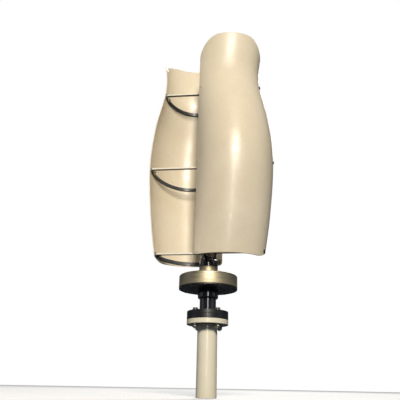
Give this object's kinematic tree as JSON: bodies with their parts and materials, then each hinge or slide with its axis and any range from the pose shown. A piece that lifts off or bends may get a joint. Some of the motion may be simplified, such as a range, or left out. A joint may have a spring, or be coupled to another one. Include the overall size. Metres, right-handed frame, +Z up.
{
  "type": "vertical axis wind turbine",
  "caption": "Vertical axis wind turbine with scoop blades on a raked-rib frame, turning on a flat drum generator over a flanged steel pole.",
  "frame": {"origin": "centre of the pole's lower end", "axes": "+Z up along the turning axis; X through the two outer blade tips at rest; the left blade's tip is on -X and its belly on +Y"},
  "size_m": [0.5548, 0.365, 1.56],
  "materials": {
    "pole_paint": "semi-gloss",
    "black_paint": "gloss",
    "turned_aluminium": "turned, satin",
    "black_anodised": "satin",
    "gelcoat": "gloss",
    "dark_steel": "semi-gloss",
    "frame_paint": "gloss",
    "black_steel": "satin",
    "zinc_steel": "zinc plated",
    "seal_rubber": "matt",
    "cast_resin": "gloss",
    "copper_wire": "enamelled wire",
    "nickel_magnet": "nickel plated",
    "cage_brass": "machined",
    "bearing_steel": "ground"
  },
  "bodies": {
    "mast_base": {"pole": "pole_paint", "pole_weld": "pole_paint", "pole_flange": "pole_paint", "base_flange": "black_paint", "neck": "black_paint", "flange_bolts": "zinc_steel", "flange_washers": "zinc_steel", "flange_nuts": "zinc_steel", "spindle": "bearing_steel", "lock_nut": "zinc_steel", "stator_hub": "turned_aluminium", "stator_disc": "cast_resin", "stator_coils": "copper_wire", "stator_screws": "zinc_steel", "lower_inner_race": "bearing_steel", "upper_inner_race": "bearing_steel"},
    "lower_ball_cage": {"lower_cage": "cage_brass", "lower_balls": "bearing_steel"},
    "upper_ball_cage": {"upper_cage": "cage_brass", "upper_balls": "bearing_steel"},
    "rotor": {"bearing_boss": "turned_aluminium", "blade_nuts": "zinc_steel", "bottom_bar": "frame_paint", "bottom_sleeve": "black_paint", "bottom_struts": "frame_paint", "collar": "black_paint", "cover_screws": "zinc_steel", "drum_case": "turned_aluminium", "drum_cover": "black_anodised", "edge_bolts": "black_steel", "flush_bolts": "gelcoat", "hub_screws": "zinc_steel", "left_blade": "gelcoat", "left_bottom_rib": "dark_steel", "left_middle_rib": "dark_steel", "left_top_rib": "dark_steel", "lower_back_iron": "zinc_steel", "lower_magnets": "nickel_magnet", "lower_outer_race": "bearing_steel", "mast": "black_paint", "mast_cap": "black_steel", "mast_hub": "black_paint", "middle_bar": "frame_paint", "middle_sleeve": "black_paint", "middle_struts": "frame_paint", "right_blade": "gelcoat", "right_bottom_rib": "dark_steel", "right_middle_rib": "dark_steel", "right_top_rib": "dark_steel", "shaft_seal": "seal_rubber", "top_bar": "frame_paint", "top_sleeve": "black_paint", "top_struts": "frame_paint", "upper_back_iron": "zinc_steel", "upper_magnets": "nickel_magnet", "upper_outer_race": "bearing_steel"}
  },
  "joints": [
    {"name": "rotor_spin", "type": "hinge", "parent": "mast_base", "child": "rotor", "pos_m": [0, 0, 0.4], "axis": [0, 0, 1], "continuous": true},
    {"name": "lower_cage_spin", "type": "hinge", "parent": "mast_base", "child": "lower_ball_cage", "pos_m": [0, 0, 0.3835], "axis": [0, 0, 1], "continuous": true},
    {"name": "upper_cage_spin", "type": "hinge", "parent": "mast_base", "child": "upper_ball_cage", "pos_m": [0, 0, 0.4555], "axis": [0, 0, 1], "continuous": true}
  ],
  "couplings": [
    {"joint": "lower_cage_spin", "follows": "rotor_spin", "ratio": 0.5778},
    {"joint": "upper_cage_spin", "follows": "rotor_spin", "ratio": 0.6039}
  ]
}
